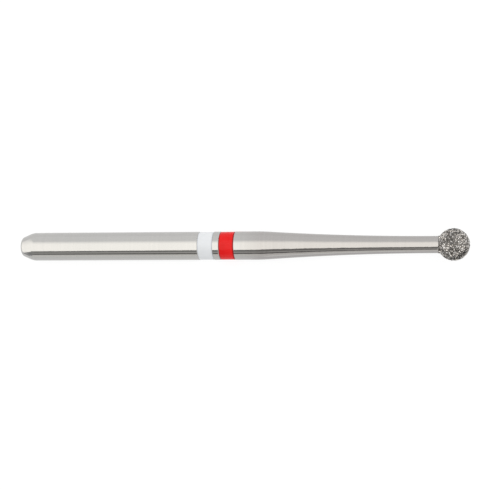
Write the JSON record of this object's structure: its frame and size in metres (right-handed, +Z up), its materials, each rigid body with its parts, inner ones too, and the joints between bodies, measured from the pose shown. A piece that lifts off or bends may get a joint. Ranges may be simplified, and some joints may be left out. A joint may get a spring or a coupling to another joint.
{
  "type": "dental bur",
  "caption": "Round dental bur: a diamond-coated ball on a long tapered neck and a straight friction grip shank with white and red lacquer rings.",
  "frame": {"origin": "centre of the shank's flat end face, on the tool's axis", "axes": "+X along the tool's axis from the shank to the head; +Z up as the tool lies level"},
  "size_m": [0.0257, 0.0018, 0.0018],
  "materials": {
    "shank_steel": "finely turned and polished, with lengthwise reflections",
    "white_lacquer": "glossy lacquer",
    "red_lacquer": "glossy lacquer",
    "diamond_grit": "rough, glinting grit in plated nickel"
  },
  "bodies": {
    "root": {"turned_blank": "shank_steel", "white_ring": "white_lacquer", "red_ring": "red_lacquer", "diamond_coating": "diamond_grit"}
  },
  "joints": []
}
